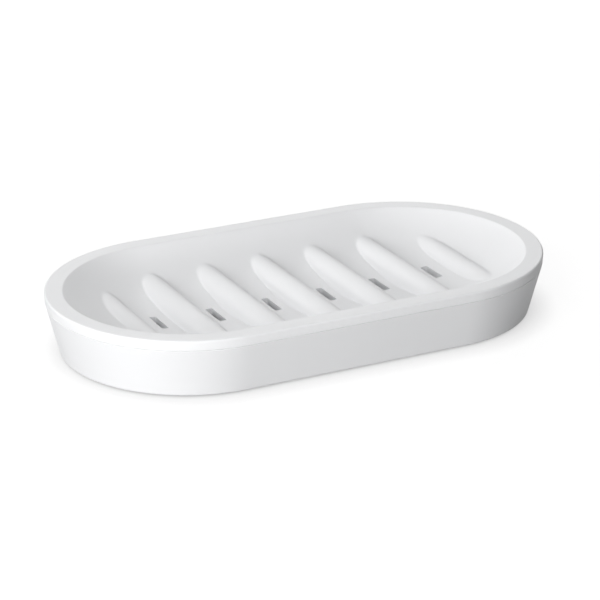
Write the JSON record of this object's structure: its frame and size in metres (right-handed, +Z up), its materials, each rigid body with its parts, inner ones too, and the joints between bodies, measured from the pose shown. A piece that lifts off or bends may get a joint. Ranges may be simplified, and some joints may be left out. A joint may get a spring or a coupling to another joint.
{
  "type": "soap dish",
  "caption": "Low stadium-shaped soap dish: a ribbed, slotted draining tray with a flat rim that lifts off a tapered drip base on non-slip foot pads.",
  "frame": {"origin": "on the table under the middle of the dish", "axes": "+X along the dish's length, +Y across it, away from the viewer in the picture, +Z up"},
  "size_m": [0.1388, 0.0754, 0.0167],
  "materials": {
    "tray_plastic": "fine satin moulding",
    "base_plastic": "fine satin moulding",
    "pad_rubber": "matte, soft"
  },
  "bodies": {
    "base": {"drip_base": "base_plastic", "foot_pad_1": "pad_rubber", "foot_pad_2": "pad_rubber", "foot_pad_3": "pad_rubber", "foot_pad_4": "pad_rubber"},
    "tray": {"soap_tray": "tray_plastic"}
  },
  "joints": [
    {"name": "tray_lift", "type": "slide", "parent": "base", "child": "tray", "axis": [0, 0, 1], "range_m": [0, 0.03]}
  ]
}
